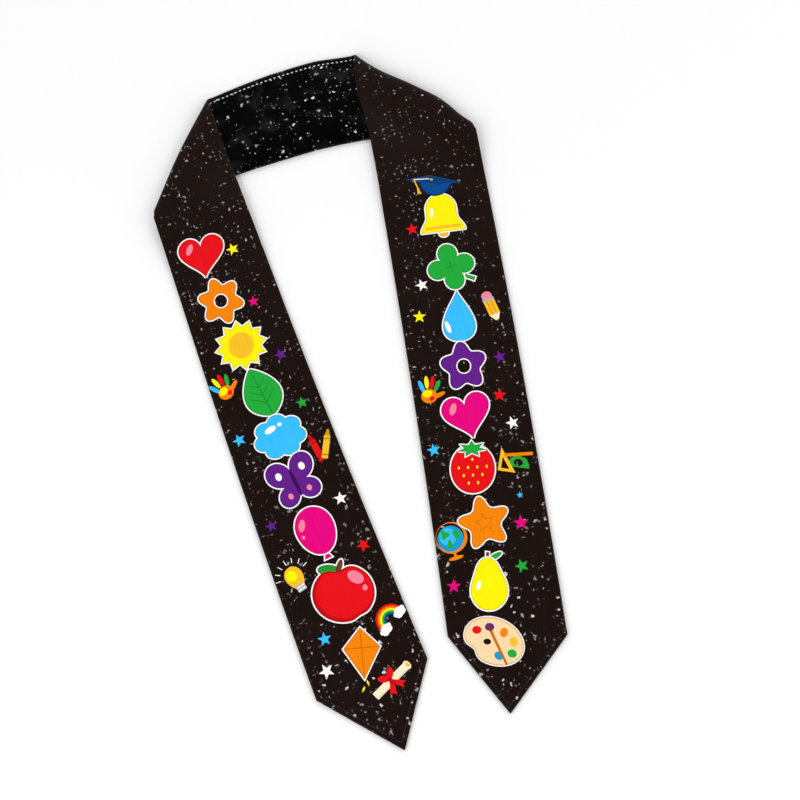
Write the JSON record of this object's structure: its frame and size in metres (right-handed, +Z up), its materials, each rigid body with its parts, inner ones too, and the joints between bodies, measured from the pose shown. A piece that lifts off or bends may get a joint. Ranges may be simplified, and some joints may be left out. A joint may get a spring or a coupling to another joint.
{
  "type": "graduation stole",
  "caption": "Long double-layer satin stole with pointed ends, laid flat with its neck lining up and each shoulder softly folded over.",
  "frame": {"origin": "middle of the floor under the laid stole", "axes": "+X from the left leg to the right leg, +Y from the pointed ends to the neck, +Z up from the floor"},
  "size_m": [0.313, 0.644, 0.0082],
  "materials": {
    "printed_satin": "black printed polyester satin with pale speckles and bright flat-coloured motifs, low sheen",
    "lining_satin": "near-black satin with pale speckles, soft sheen, one row of white stitches along its upper edge"
  },
  "bodies": {
    "root": {"stole_face": "printed_satin", "stole_lining": "lining_satin"}
  },
  "joints": []
}
